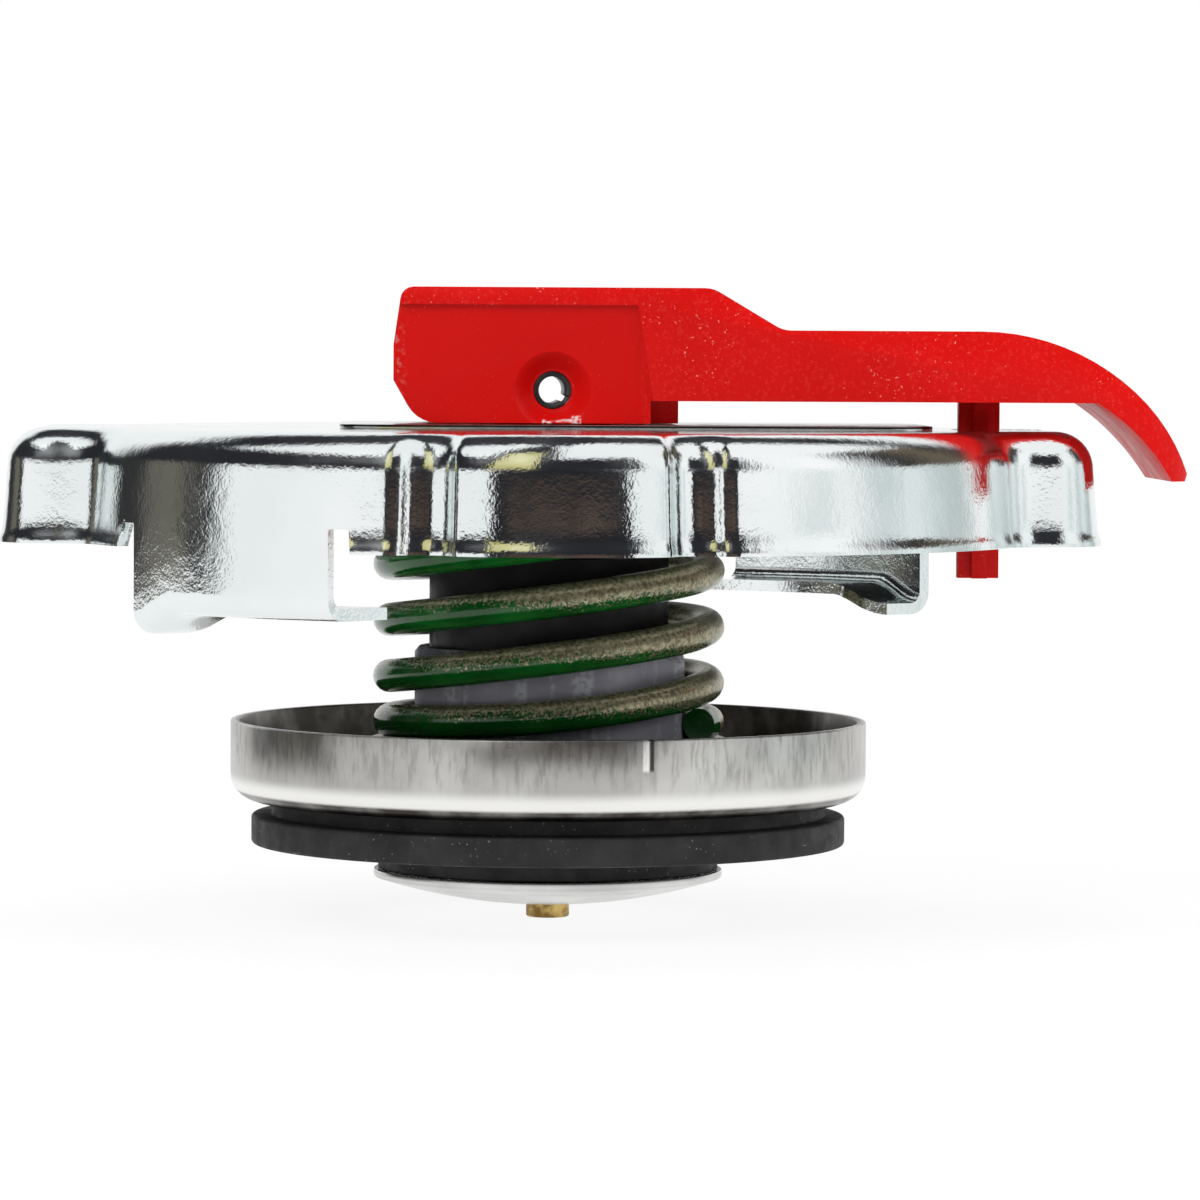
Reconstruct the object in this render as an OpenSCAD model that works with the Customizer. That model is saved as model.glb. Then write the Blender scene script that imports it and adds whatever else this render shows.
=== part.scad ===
// Pressure cap for a cooling system filler neck, with a lever that vents it by hand.
// Millimetres. Z is up along the neck, X runs along the lever, and the origin is on
// the axis in the plane of the neck rim.

/* [Shell] */
// Thickness of the pressed sheet
sheet = 0.8; // [0.6:0.05:1]
// Radius of the round part of the shell
shell_radius = 32.8; // [32:0.1:35]
// Height from the shell top down to the skirt edge
shell_height = 7.8; // [7:0.1:9]
// Radius of the rounded top edge
shell_fillet = 2.6; // [1.5:0.1:3]
// How far the skirt edge flares out
skirt_flare = 0.35; // [0.1:0.05:0.6]
// How far the wall leans in on its way up
wall_draft = 0.25; // [0.1:0.05:0.5]
// Reach of the two ears from the axis
ear_reach = 37.3; // [36.5:0.1:40]
// Half the width of an ear
ear_half_width = 10.2; // [8:0.1:12]
// Radius of the ear corners
ear_corner = 3.8; // [3:0.1:5]
// Radius where an ear runs into the round part
ear_root = 3; // [1:0.1:5]
// Reach of the narrow lobes at front and back
nose_reach = 34; // [33.6:0.1:35]
// Radius of the narrow lobes
nose_radius = 13; // [12:0.1:15]
// Angle from a narrow lobe's middle to the groove beside it
groove_angle = 15.6; // [15:0.1:16.5]
// Radius of the groove
groove_radius = 2; // [1.7:0.1:2.4]
// Distance from the axis to the groove bottom
groove_floor = 31.3; // [31:0.1:31.8]
// Radius of the groove edges
groove_edge = 1.3; // [1:0.1:1.6]
// Play round the stem and the lock peg where they pass the shell
shell_play = 0.1; // [0.05:0.01:0.3]

/* [Locking tabs] */
// Angle at which the first tab starts
tab_start = 31.4; // [30:0.2:33]
// Angle that one tab covers
tab_sweep = 31.4; // [28:0.2:32]
// Drop from the shell top to the underside of the lip
tab_drop = 12.2; // [11:0.1:14]
// How far the lip reaches in
lip_reach = 5.5; // [4:0.1:6]
// Outer radius of the bend into the lip
tab_bend = 1.6; // [1.2:0.1:2.5]
// Extra drop of the lip at its leading end
lead_dip = 1.4; // [0.3:0.1:2]
// Height of the relief notches beside a tab
notch_rise = 1.6; // [1:0.1:2]

/* [Upper seal] */
// Thickness of the rubber disc that seals on the neck rim
seal_thick = 1.8; // [1.2:0.1:2.4]
// Radius of that rubber disc
seal_radius = 27.6; // [26:0.1:28]
// Thickness of the steel plate under it
seat_thick = 0.4; // [0.3:0.05:0.8]
// Radius of the steel plate
seat_radius = 19.8; // [16:0.1:21]

/* [Wear plate] */
// Thickness of the plate that the lever rubs on
plate_thick = 0.3; // [0.2:0.05:0.5]
// Half the width of the plate
plate_half_width = 9.5; // [9:0.1:12]
// Reach of the plate behind the axis
plate_back = 14.5; // [13:0.1:18]
// Reach of the plate towards the handle
plate_front = 26; // [15:0.1:26.5]

/* [Lever] */
// Width of the lever
lever_width = 16; // [14:0.1:18]
// Gap under the lever at rest
lever_rest_gap = 0.1; // [0.05:0.01:0.2]
// Height of the pivot above the lever's underside
pivot_rise = 2.25; // [2:0.05:2.6]
// Height of the lever's hump
hump_height = 9.25; // [8.9:0.05:10]
// Where the hump starts to slope down
hump_front = 10.9; // [9.5:0.1:12]
// Length of that slope
slope_run = 4.7; // [3:0.1:6]
// Clear height under the handle above the lever's underside
handle_rise = 1.55; // [1.2:0.05:2.2]
// Depth of the handle
handle_depth = 4.85; // [4.2:0.05:5.2]
// Distance from the pivot back to the heel corner
heel_back = 9.2; // [8.6:0.05:9.5]
// Distance from the pivot back to the rear face
rear_reach = 10.85; // [10.5:0.05:12]
// Height of the slope behind the heel
heel_slope = 2.9; // [2.4:0.05:3.4]
// Radius of the heel corner
heel_round = 2.3; // [2.2:0.05:2.6]
// Where the cheeks end below the handle
cheek_front = 6.66; // [6:0.05:7]
// Depth of the panel in each cheek
cheek_recess = 0.35; // [0.1:0.05:0.6]
// Thickness of the lever's skin
lever_skin = 2; // [1.6:0.1:2.2]
// Where the handle starts to curve down
bow_start = 29.2; // [28:0.1:31]
// Radius of the top of that curve
bow_radius = 15.6; // [14.5:0.1:16.5]
// Reach of the tip below the lever's underside
tip_drop = 3.8; // [3:0.1:4.4]
// Radius of the dish round the pin
dish_radius = 2.65; // [2:0.05:3]
// Depth of the dish round the pin
dish_depth = 1.2; // [0.5:0.05:1.6]
// Distance from the axis to the lock peg
peg_reach = 29.8; // [29:0.1:30.5]
// Width of the lock peg
peg_width = 2.85; // [2.4:0.05:3.2]
// Drop of the lock peg below the lever's underside
peg_drop = 10.7; // [9:0.1:12]

/* [Pivot] */
// Radius of the slotted spring pin
pin_radius = 1.3; // [1.1:0.05:1.5]
// Wall of the spring pin
pin_wall = 0.36; // [0.25:0.01:0.5]
// Width of the slot in the spring pin
pin_slot = 0.5; // [0.3:0.05:0.8]
// Running clearance between pin and stem
pin_play = 0.05; // [0.02:0.01:0.1]

/* [Lift stem] */
// Radius of the stem's neck
neck_radius = 4.5; // [4:0.05:4.6]
// Clearance between the neck and the lever's cheeks
neck_play = 0.2; // [0.1:0.05:0.4]
// Radius of the stem's sleeve
sleeve_radius = 8.3; // [8:0.05:8.4]
// Height of the sleeve's shoulder below the neck rim
shoulder_drop = 6.25; // [6.2:0.05:7]
// Height of the sleeve's lower end below the neck rim
sleeve_drop = 14.7; // [14:0.05:14.8]
// Wall of the sleeve
sleeve_wall = 2.1; // [1.5:0.1:2.5]
// How far the two lift lugs stand out
lug_reach = 0.7; // [0.5:0.05:0.75]
// Height of a lift lug
lug_height = 1; // [0.8:0.05:1.1]
// Width of a lift lug
lug_width = 4; // [3:0.1:5]

/* [Collar] */
// Width of the collar across its flats
collar_flats = 18.6; // [18.4:0.05:18.7]
// Clearance between the sleeve and the collar
collar_play = 0.15; // [0.1:0.01:0.2]
// Height of the collar's top below the neck rim
collar_drop = 12.55; // [12.2:0.05:12.6]
// Thickness of the collar's floor
collar_floor = 1; // [0.8:0.05:1.2]
// Size of the chamfer on the collar
collar_chamfer = 1; // [0.5:0.1:1.2]
// Radius of the pegs that hold the collar to the cup
stake_radius = 0.9; // [0.7:0.05:1.1]

/* [Main spring] */
// Radius of the spring wire
wire_radius = 1.15; // [0.9:0.05:1.2]
// Outer radius of the spring
coil_radius = 12.2; // [12.1:0.05:12.6]
// Rise of one turn
coil_pitch = 3.9; // [3.4:0.05:4.4]
// Lean of the loose turns, high on the handle side
coil_lean = 0.8; // [0:0.05:1]

/* [Pressure valve] */
// Thickness of the cup
cup_sheet = 0.6; // [0.5:0.05:0.8]
// Outer radius of the cup
cup_radius = 22.05; // [21.8:0.05:22.5]
// Height of the cup's rim below the neck rim
rim_drop = 17.65; // [17:0.05:18.5]
// Height of the cup
cup_height = 5.5; // [5:0.05:6]
// Radius of the cup's bottom edge
cup_edge = 1.8; // [1.2:0.1:2.4]
// Radius of the raised middle that carries the spring
hat_radius = 13; // [12.8:0.1:14]
// Height of the raised middle below the neck rim
hat_drop = 18.9; // [18.7:0.05:19.2]
// Radius of the sealing face
gasket_radius = 20.6; // [20:0.05:21.2]
// Thickness of the sealing face
gasket_thick = 2; // [1.6:0.1:2.6]
// Height of the neck above the sealing face
gasket_neck = 1.05; // [0.7:0.05:1.4]
// Depth of the groove round the gasket
gasket_groove = 1.4; // [0.6:0.1:2]
// Outer radius of the lip that the vacuum plate seals on
lip_radius = 11.8; // [11.4:0.05:12]
// Height of that lip
lip_height = 1.75; // [1.2:0.05:2.2]
// Thickness of the eyelet that holds the gasket
eyelet_sheet = 0.5; // [0.4:0.05:0.6]

/* [Vacuum valve] */
// Radius of the vacuum plate
disc_radius = 12.1; // [11.9:0.05:12.4]
// Thickness of the vacuum plate
disc_sheet = 0.55; // [0.4:0.05:0.7]
// Depth of the dish in the vacuum plate
disc_dish = 1.9; // [1.2:0.05:2.4]
// Radius of the brass stem
rivet_radius = 1.5; // [1.3:0.05:1.6]
// Length of the stem below the plate
rivet_tail = 1; // [0.6:0.05:1.4]
// Running clearance round the brass stem
rivet_play = 0.06; // [0.02:0.01:0.1]
// Height of the vacuum spring
lid_spring_height = 4; // [3.5:0.1:4.2]
// Radius of the vacuum spring's wire
lid_wire = 0.28; // [0.2:0.01:0.35]
// Mean radius of the vacuum spring
lid_coil = 2.4; // [2.2:0.05:2.6]

/* [Hidden] */
$fn = 64;
eps = 0.02;
top_z = seal_thick + sheet;
skirt_z = top_z - shell_height;
plate_z = top_z + plate_thick;
under_z = plate_z + lever_rest_gap;
pivot_z = under_z + pivot_rise;
handle_z = under_z + handle_rise;
handle_top = handle_z + handle_depth;
hump_z = under_z + hump_height;
half_width = lever_width / 2;
cheek_inner = neck_radius + neck_play;
bow_z = handle_top - bow_radius;
tip_z = under_z - tip_drop;
hat_z = -hat_drop;
cup_floor_z = -rim_drop - cup_height;
face_top_z = cup_floor_z - gasket_neck;
face_z = face_top_z - gasket_thick;
disc_z = face_z - lip_height;
collar_floor_z = hat_z + collar_floor;
lid_washer_z = collar_floor_z + lid_spring_height;
washer_thick = 0.5;
coil_mean = coil_radius - wire_radius;
bore_radius = sleeve_radius + collar_play;
collar_round = coil_mean - wire_radius - 0.1;
stake_ring = 6.2;

// Points along an arc in the plane.
function arc(c, r, a, b, n) = [for (i = [0:n]) c + r * [cos(a + (b - a) * i / n), sin(a + (b - a) * i / n)]];
// The same arc without its last point.
function arc_open(c, r, a, b, n) = [for (i = [0:n - 1]) c + r * [cos(a + (b - a) * i / n), sin(a + (b - a) * i / n)]];
function heading(v) = atan2(v[1], v[0]);
function clamp01(x) = min(1, max(0, x));
function ease(x) = let (t = clamp01(x)) t * t * (3 - 2 * t);
function flip(list) = [for (i = [len(list) - 1:-1:0]) list[i]];
function tail(list) = [for (i = [1:len(list) - 1]) list[i]];

// Where two circles meet, on the side that lies nearer the outline's middle.
function circles_meet(p, rp, q, rq) =
  let (d = norm(q - p), u = (q - p) / d, a = (rp * rp - rq * rq + d * d) / (2 * d))
  p + a * u + sqrt(max(0, rp * rp - a * a)) * [-u[1], u[0]] * (cross([u[0], u[1]], [0, 1]) > 0 ? -1 : 1);

// Angles of the wall columns on the round part, with the tab and its notches in place.
tab_end = tab_start + tab_sweep;
tab_steps = 10;
root_angle = atan2(ear_half_width + ear_root, root_x());
function root_x() = sqrt(pow(shell_radius + ear_root, 2) - pow(ear_half_width + ear_root, 2));
notch_angles = [-3, -2.6, -0.4];
tab_angles = [for (i = [0:tab_steps]) tab_start + tab_sweep * i / tab_steps];
wall_angles = concat([root_angle], [for (a = notch_angles) tab_start + a], tab_angles,
  [for (a = flip(notch_angles)) tab_end - a]);

// One quarter of the shell outline, moved in by e. The grooves keep their size.
corner_room = ear_reach - root_x() - 0.2;
function quarter(e) =
  let (r = shell_radius - e, corner = max(min(ear_corner, corner_room) - e, 0.02))
  let (reach = ear_reach - e, half = ear_half_width - e)
  let (g = (groove_floor + groove_radius - e) * [sin(groove_angle), cos(groove_angle)])
  let (gr = norm(g), nose = [0, nose_reach - nose_radius], span = groove_radius + groove_edge)
  let (rim = r - groove_edge, open = acos((rim * rim + gr * gr - span * span) / (2 * rim * gr)))
  let (c1 = rim * [sin(groove_angle + open), cos(groove_angle + open)])
  let (c2 = circles_meet(nose, nose_radius - e - groove_edge, g, span))
  concat(
    arc([reach - corner, half - corner], corner, 0, 90, 5),
    arc_open([root_x(), ear_half_width + ear_root], ear_root + e, 270, 180 + root_angle, 4),
    [for (a = wall_angles) r * [cos(a), sin(a)]],
    arc_open(c1, groove_edge, heading(c1), heading(g - c1), 3),
    arc_open(g, groove_radius, heading(c1 - g) + 360, heading(c2 - g) + 360, 4),
    arc_open(c2, groove_edge, heading(g - c2), heading(c2 - nose), 3),
    arc(nose, nose_radius - e, heading(c2 - nose), 90, 4));

// The whole outline, round all four quarters.
function outline(e) = let (q = quarter(e)) concat(q, tail(flip([for (p = q) [-p[0], p[1]]])), -q,
  tail(flip([for (p = q) [p[0], -p[1]]])));

// 0 marks a plain wall column, 1 a notch and 2 a tab, in the order of the outline.
lead_count = 6 + 4;
wall_marks = concat([0, 0, 1, 1], [for (a = tab_angles) 2], [1, 1, 0]);
quarter_size = len(quarter(0));
marked = [for (i = [0:quarter_size - 1])
  i < lead_count || i >= lead_count + len(wall_marks) ? 0 : wall_marks[i - lead_count]];
unmarked = [for (i = [1:quarter_size - 1]) 0];
marks = concat(marked, unmarked, marked, unmarked);

// Wall section of the shell as [inset, height] pairs, outside going up and inside going down.
notch_z = skirt_z + notch_rise;
fillet_steps = 4;
outer_rings = concat(
  [[-skirt_flare, skirt_z], [-skirt_flare * 0.35, skirt_z + 0.9], [0, skirt_z + 2]],
  [for (i = [0:fillet_steps]) let (a = 90 * i / fillet_steps)
    [wall_draft + shell_fillet * (1 - cos(a)), top_z - shell_fillet * (1 - sin(a))]]);
inner_fillet = shell_fillet - sheet;
inner_rings = concat(
  [for (i = [fillet_steps:-1:0]) let (a = 90 * i / fillet_steps)
    [sheet + wall_draft + inner_fillet * (1 - cos(a)), top_z - sheet - inner_fillet * (1 - sin(a))]],
  [[sheet, skirt_z + 2], [sheet - skirt_flare * 0.35, skirt_z + 0.9], [sheet - skirt_flare, skirt_z]]);
rings = concat(outer_rings, inner_rings);
ring_count = len(rings);
column_count = len(marks);

// A tab and the notches beside it start at the notch height, with no flare.
function ring_at(k, mark) = let (r = rings[k], low = clamp01((skirt_z + 2 - r[1]) / 2))
  mark == 0 || low == 0 ? r : [k < len(outer_rings) ? 0 : sheet, notch_z + 0.4 * (1 - low)];

// Section of a tab below the notch height, down the inside, round the lip and up the outside.
lip_z = top_z - tab_drop;
bend_in = tab_bend - sheet;
bend_steps = 4;
tab_section = concat(
  [for (i = [0:bend_steps]) let (a = 90 * i / bend_steps)
    [sheet + bend_in * (1 - cos(a)), lip_z + tab_bend - bend_in * sin(a)]],
  [[lip_reach, lip_z + sheet], [lip_reach, lip_z]],
  [for (i = [bend_steps:-1:0]) let (a = 90 * i / bend_steps)
    [tab_bend * (1 - cos(a)), lip_z + tab_bend - tab_bend * sin(a)]]);
section_size = len(tab_section);
tongue_angle = 3;
function tab_point(p, step, turn) =
  let (share = clamp01((p[0] - sheet) / (lip_reach - sheet)))
  let (keep = step == 0 ? 0.55 : step == 1 ? 0.85 : 1)
  let (inset = p[0] > tab_bend ? tab_bend + (p[0] - tab_bend) * keep : p[0])
  let (angle = turn + tab_angles[step] + (step == tab_steps ? tongue_angle * share : 0))
  let (dip = lead_dip * ease((2.5 - step) / 2.5))
  [(shell_radius - inset) * cos(angle), (shell_radius - inset) * sin(angle), p[1] - dip];

tab_columns = [for (i = [0:column_count - 1]) if (marks[i] == 2) i];
tab_width = tab_steps + 1;
function at(k, i) = (k % ring_count) * column_count + i % column_count;
hole_start = ring_count * column_count;
function hole_at(side, i) = hole_start + side * column_count + i % column_count;
function tab_at(t, j, s) = hole_start + 2 * column_count + (t * tab_width + j) * section_size + s;
// Every point of one tab column in order, with the two wall points at its ends.
function tab_loop(t, j) = concat([at(ring_count - 1, tab_columns[t * tab_width + j])],
  [for (s = [0:section_size - 1]) tab_at(t, j, s)], [at(0, tab_columns[t * tab_width + j])]);
function strip(a, b) = [for (s = [0:len(a) - 2]) [a[s], a[s + 1], b[s + 1], b[s]]];
function end_cap(loop) = let (n = len(loop))
  [for (s = [0:n / 2 - 2]) [loop[s], loop[s + 1], loop[n - 2 - s], loop[n - 1 - s]]];

module shell_body() {
  outlines = [for (k = [0:ring_count - 1]) outline(rings[k][0])];
  plain_outline = outline(0);
  inner_outline = outline(sheet);
  walls = [for (k = [0:ring_count - 1]) for (i = [0:column_count - 1])
    let (r = ring_at(k, marks[i]), plain = r == rings[k])
    let (p = plain ? outlines[k][i] : k < len(outer_rings) ? plain_outline[i] : inner_outline[i])
    [p[0], p[1], r[1]]];
  hole = [for (z = [top_z, top_z - sheet]) for (p = plain_outline)
    let (q = (neck_radius + shell_play) * p / norm(p)) [q[0], q[1], z]];
  tabs = [for (t = [0, 1]) for (j = [0:tab_steps]) for (p = tab_section) tab_point(p, j, 180 * t)];
  cut = len(outer_rings) - 1;
  sides = [for (k = [0:ring_count - 2]) if (k != cut) for (i = [0:column_count - 1])
    [at(k, i), at(k + 1, i), at(k + 1, i + 1), at(k, i + 1)]];
  lids = [for (i = [0:column_count - 1]) each [
    [at(cut, i), hole_at(0, i), hole_at(0, i + 1), at(cut, i + 1)],
    [hole_at(0, i), hole_at(1, i), hole_at(1, i + 1), hole_at(0, i + 1)],
    [hole_at(1, i), at(cut + 1, i), at(cut + 1, i + 1), hole_at(1, i + 1)]]];
  edge = [for (i = [0:column_count - 1]) if (marks[i] != 2 || marks[(i + 1) % column_count] != 2)
    [at(ring_count - 1, i), at(0, i), at(0, i + 1), at(ring_count - 1, i + 1)]];
  tab_walls = [for (t = [0, 1]) for (j = [0:tab_steps - 1]) each strip(tab_loop(t, j), tab_loop(t, j + 1))];
  tab_ends = [for (t = [0, 1]) each concat(end_cap(flip(tab_loop(t, 0))), end_cap(tab_loop(t, tab_steps)))];
  polyhedron(concat(walls, hole, tabs), concat(sides, lids, edge, tab_walls, tab_ends), 6);
}

// Slot that the lock peg swings through.
peg_slot_width = peg_width + 8 * shell_play;
peg_slot_in = peg_reach - peg_width / 2 - 4 * shell_play;
peg_slot_out = peg_reach + peg_width / 2 + 2.9;

module shell() {
  color([0.8, 0.83, 0.84])
  difference() {
    shell_body();
    translate([peg_slot_in, -peg_slot_width / 2, top_z - 2 * sheet])
      cube([peg_slot_out - peg_slot_in, peg_slot_width, 3 * sheet]);
  }
}

module wear_plate() {
  round = 3;
  color([0.75, 0.76, 0.77])
  translate([0, 0, top_z])
  linear_extrude(plate_thick)
  difference() {
    union() {
      translate([-plate_back, round - plate_half_width])
        square([plate_back + plate_front, 2 * (plate_half_width - round)]);
      translate([round - plate_back, -plate_half_width])
        square([plate_back + plate_front - 2 * round, 2 * plate_half_width]);
      for (x = [round - plate_back, plate_front - round], y = [-1, 1])
        translate([x, y * (plate_half_width - round)])
          circle(round);
    }
    circle(neck_radius + 2 * shell_play);
  }
}

// Side view of the lever, x along the handle and z up.
heel_angle = atan2(heel_slope, rear_reach - heel_back);
heel_trim = heel_round * tan(heel_angle / 2);
under_radius = bow_radius - 0.1;
under_centre = [bow_start - 0.2, bow_z - 2.4];
under_in = asin((handle_z - under_centre[1]) / under_radius);
under_out = asin((tip_z - under_centre[1]) / under_radius);
tip_angle = asin((tip_z + 0.5 - bow_z) / bow_radius);
tip_end = bow_start + bow_radius * cos(tip_angle);
lever_side = concat(
  flip(arc([heel_trim - heel_back, under_z + heel_round], heel_round, 270 - heel_angle, 270, 5)),
  [[-rear_reach, under_z + heel_slope], [-rear_reach, under_z + 5.3]],
  arc([0.9 - rear_reach + 0.45, hump_z - 0.9], 0.9, 175, 90, 4),
  arc([hump_front - 0.6, hump_z - 2], 2, 90, 60, 3),
  arc([hump_front + slope_run + 0.6, handle_top + 2], 2, 240, 270, 3),
  arc([bow_start, bow_z], bow_radius, 90, tip_angle, 16),
  [[tip_end - 0.2, tip_z]],
  arc(under_centre, under_radius, under_out, under_in, 10),
  [[cheek_front, handle_z], [cheek_front, under_z]]);
channel_side = concat(
  [[peg_reach, handle_z - 1], [cheek_front + lever_skin, handle_z - 1]],
  [[cheek_front + lever_skin, hump_z - lever_skin], [hump_front - 0.6, hump_z - lever_skin]],
  [[hump_front + slope_run - 0.4, handle_top - lever_skin]],
  arc([bow_start, bow_z], bow_radius - lever_skin, 90, 54, 8),
  [[bow_start + 6.3, handle_z - 1]]);
panel_side = [[-rear_reach - 1, under_z - 1], [-rear_reach - 1, hump_z - 1.2], [5.75, hump_z - 1.2],
  [cheek_front + 0.15, handle_z], [cheek_front + 0.15, under_z - 1]];

module from_side(points, width) {
  rotate([90, 0, 0])
  linear_extrude(width, center = true)
    polygon(points);
}

// Plan of the lever, with a rounded tip.
tip_round = 4.5;
tip_x = tip_end + 0.55;
lever_plan = concat(
  [[-rear_reach - 1, -half_width]],
  arc([tip_x - tip_round, tip_round - half_width], tip_round, 270, 360, 8),
  arc([tip_x - tip_round, half_width - tip_round], tip_round, 0, 90, 8),
  [[-rear_reach - 1, half_width]]);

module lever_block() {
  difference() {
    intersection() {
      from_side(lever_side, lever_width);
      translate([0, 0, tip_z - 1])
      linear_extrude(hump_z - tip_z + 2)
        polygon(lever_plan);
    }
    from_side(channel_side, lever_width - 2 * lever_skin);
    translate([lever_skin - rear_reach, -cheek_inner, under_z - 1])
      cube([rear_reach - lever_skin + cheek_front, 2 * cheek_inner, hump_height + 1 - lever_skin]);
    translate([-rear_reach - 1, -cheek_inner, under_z - 1])
      cube([lever_skin + 1.5, 2 * cheek_inner, pivot_rise + 1.6]);
    for (y = [-1, 1])
      translate([0, y * (half_width - cheek_recess + 1), 0])
        from_side(panel_side, 2);
    translate([0, 0, pivot_z])
    rotate([90, 0, 0])
      cylinder(r = pin_radius, h = lever_width + 1, center = true);
    for (a = [90, -90])
      translate([0, 0, pivot_z])
      rotate([a, 0, 0])
      translate([0, 0, half_width - cheek_recess - dish_depth])
        cylinder(r1 = pin_radius + 0.2, r2 = dish_radius, h = dish_depth + eps);
  }
}

module lever() {
  rib = peg_width * 0.38;
  peg_top = handle_top - lever_skin / 2;
  peg_low = under_z - peg_drop;
  color([0.85, 0.07, 0.06])
  union() {
    lever_block();
    translate([cheek_front - eps, -cheek_inner - 0.8, under_z])
      cube([lever_skin, 2 * cheek_inner + 1.6, hump_height - lever_skin / 2]);
    translate([peg_reach - peg_width / 2, -rib / 2, peg_low])
      cube([peg_width, rib, peg_top - peg_low]);
    translate([peg_reach - rib / 2, -peg_width / 2, peg_low])
      cube([rib, peg_width, peg_top - peg_low]);
  }
}

module pivot_pin() {
  pin_half = half_width - cheek_recess - dish_depth;
  color([0.25, 0.25, 0.26])
  translate([0, 0, pivot_z])
  rotate([90, 0, 0])
  difference() {
    cylinder(r = pin_radius, h = 2 * pin_half, center = true);
    cylinder(r = pin_radius - pin_wall, h = 2 * pin_half + 1, center = true);
    rotate([0, 0, -35])
    translate([0, -pin_slot / 2, -pin_half - 1])
      cube([2 * pin_radius, pin_slot, 2 * pin_half + 2]);
  }
}

module lift_stem() {
  bore = sleeve_radius - sleeve_wall;
  bore_top = -shoulder_drop - 2.5;
  color([0.08, 0.08, 0.085])
  difference() {
    union() {
      translate([0, 0, -shoulder_drop])
        cylinder(r = neck_radius, h = pivot_z + shoulder_drop);
      intersection() {
        translate([0, 0, pivot_z - 1])
          cylinder(r = neck_radius, h = neck_radius + 2);
        translate([0, 0, pivot_z])
        rotate([90, 0, 0])
          cylinder(r = neck_radius - 0.1, h = 3 * neck_radius, center = true);
      }
      translate([0, 0, -sleeve_drop])
        cylinder(r = sleeve_radius, h = sleeve_drop - shoulder_drop);
      intersection() {
        translate([0, 0, -sleeve_drop])
          cylinder(r = sleeve_radius + lug_reach, h = lug_height);
        translate([-2 * sleeve_radius, -lug_width / 2, -sleeve_drop])
          cube([4 * sleeve_radius, lug_width, lug_height]);
      }
    }
    translate([0, 0, -sleeve_drop - 1])
      cylinder(r = bore, h = sleeve_drop + bore_top + 1);
    translate([0, 0, pivot_z])
    rotate([90, 0, 0])
      cylinder(r = pin_radius + pin_play, h = 3 * neck_radius, center = true);
  }
}

module neck_seal() {
  hole = neck_radius + shell_play / 2;
  color([0.09, 0.09, 0.09])
  rotate_extrude()
    polygon([[hole, 0.5], [hole + 0.5, 0], [seal_radius - 0.4, 0], [seal_radius, 0.4],
      [seal_radius, seal_thick], [hole + 0.5, seal_thick], [hole, seal_thick - 0.5]]);
}

module spring_seat() {
  color([0.72, 0.73, 0.74])
  translate([0, 0, -seat_thick])
  difference() {
    cylinder(r = seat_radius, h = seat_thick);
    translate([0, 0, -1])
      cylinder(r = sleeve_radius + 0.4, h = seat_thick + 2);
  }
}

// Height of the spring wire's middle at a turn angle counted from the cut end's side.
spring_low = hat_z + wire_radius;
spring_high = -seat_thick - wire_radius;
cut_angle = -22;
climb_end = 180 + 360 * (spring_high - spring_low) / coil_pitch;
spring_end = climb_end + 150;
function coil_z(a) = let (climb = coil_pitch * (a - 180) / 360)
  min(spring_high, spring_low + max(0, climb)
    + coil_lean * cos(a) * ease((a - 180) / 170) * ease((climb_end - a) / 170));

// A round wire along a turning path: mean radius, wire radius, height function and facets.
module wire_sweep(heights, start, step, mean, wire, facets) {
  n = len(heights);
  points = [for (i = [0:n - 1]) for (j = [0:facets - 1])
    let (a = start + step * i, b = 360 * j / facets, r = mean + wire * cos(b))
    [r * cos(a), r * sin(a), heights[i] + wire * sin(b)]];
  skin = [for (i = [0:n - 2]) for (j = [0:facets - 1])
    [i * facets + j, i * facets + (j + 1) % facets, (i + 1) * facets + (j + 1) % facets, (i + 1) * facets + j]];
  ends = [[for (j = [facets - 1:-1:0]) j], [for (j = [0:facets - 1]) (n - 1) * facets + j]];
  polyhedron(points, concat(skin, ends), 4);
}

module main_spring() {
  steps = 122;
  step = (spring_end - cut_angle) / steps;
  color([0.1, 0.42, 0.13])
    wire_sweep([for (i = [0:steps]) coil_z(cut_angle + step * i)], cut_angle, step, coil_mean, wire_radius, 10);
}

module collar() {
  height = hat_drop - collar_drop;
  corner = collar_flats / 2 / cos(22.5);
  slot_top = -sleeve_drop + lug_height + 0.1;
  slot_low = collar_floor_z + 0.1;
  color([0.5, 0.5, 0.53])
  difference() {
    union() {
      intersection() {
        translate([0, 0, hat_z])
        rotate(22.5)
          cylinder(r = corner, h = height, $fn = 8);
        rotate_extrude()
          polygon([[0, hat_z - 1], [collar_round, hat_z - 1], [collar_round, -collar_drop - collar_chamfer],
            [collar_round - 0.8 * (collar_chamfer + 1), 1 - collar_drop], [0, 1 - collar_drop]]);
      }
      for (a = [0:90:270])
        rotate(a) {
          translate([stake_ring, 0, hat_z - cup_sheet - 0.6])
            cylinder(r = stake_radius, h = cup_sheet + 1);
          translate([stake_ring, 0, hat_z - cup_sheet - 0.7])
            cylinder(r = stake_radius + 0.5, h = 0.7);
        }
    }
    translate([0, 0, collar_floor_z])
      cylinder(r = bore_radius, h = height);
    translate([0, 0, hat_z - 1])
      cylinder(r = rivet_radius + rivet_play, h = height);
    translate([-2 * corner, -lug_width / 2 - 0.2, slot_low])
      cube([4 * corner, lug_width + 0.4, slot_top - slot_low]);
    for (a = [45:90:315])
      rotate(a)
      translate([stake_ring - 0.6, 0, hat_z - 1])
        cylinder(r = 1, h = collar_floor + 2);
  }
}

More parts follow.
